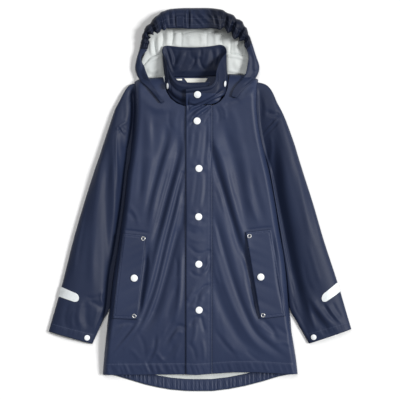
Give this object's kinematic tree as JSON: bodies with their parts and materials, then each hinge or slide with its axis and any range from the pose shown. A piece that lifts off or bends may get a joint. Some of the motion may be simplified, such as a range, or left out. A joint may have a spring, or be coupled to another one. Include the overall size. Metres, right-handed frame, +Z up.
{
  "type": "kids raincoat",
  "caption": "Child's hooded rain coat laid flat, snapped shut, with sloping pocket flaps, reflective sleeve tape and a longer back hem.",
  "frame": {"origin": "on the surface the coat lies on, under the middle of its outline", "axes": "+Y from the hem to the hood, +X to the right of someone looking down at the front, +Z up from the surface"},
  "size_m": [0.607, 0.7681, 0.0491],
  "materials": {
    "shell_cloth": "smooth coated cloth, soft sheen",
    "pale_cloth": "matt coated cloth, pale grey",
    "label_tape": "matt woven tape",
    "snap_caps": "glossy white",
    "rivets": "bright metal",
    "reflective_tape": "silver grey, satin"
  },
  "bodies": {
    "root": {"back_panel": "shell_cloth", "back_hem_facing": "shell_cloth", "front_left": "shell_cloth", "front_right": "shell_cloth", "placket": "shell_cloth", "sleeve_left": "shell_cloth", "sleeve_right": "shell_cloth", "collar": "shell_cloth", "hood_side_left": "shell_cloth", "hood_brim": "shell_cloth", "hood_side_right": "shell_cloth", "hood_tab": "shell_cloth", "pocket_flap_left": "shell_cloth", "pocket_flap_right": "shell_cloth", "hanger_loop": "shell_cloth", "hood_back": "pale_cloth", "neck_label": "label_tape", "front_snap_1": "snap_caps", "front_snap_2": "snap_caps", "front_snap_3": "snap_caps", "front_snap_4": "snap_caps", "front_snap_5": "snap_caps", "front_snap_6": "snap_caps", "pocket_snap_left": "snap_caps", "pocket_snap_right": "snap_caps", "hood_snap_left": "snap_caps", "hood_snap_right": "snap_caps", "cuff_snap_left": "snap_caps", "cuff_snap_right": "snap_caps", "rivet_left_top": "rivets", "rivet_left_bottom": "rivets", "rivet_right_top": "rivets", "rivet_right_bottom": "rivets", "reflective_tape_left": "reflective_tape", "reflective_tape_right": "reflective_tape"}
  },
  "joints": []
}
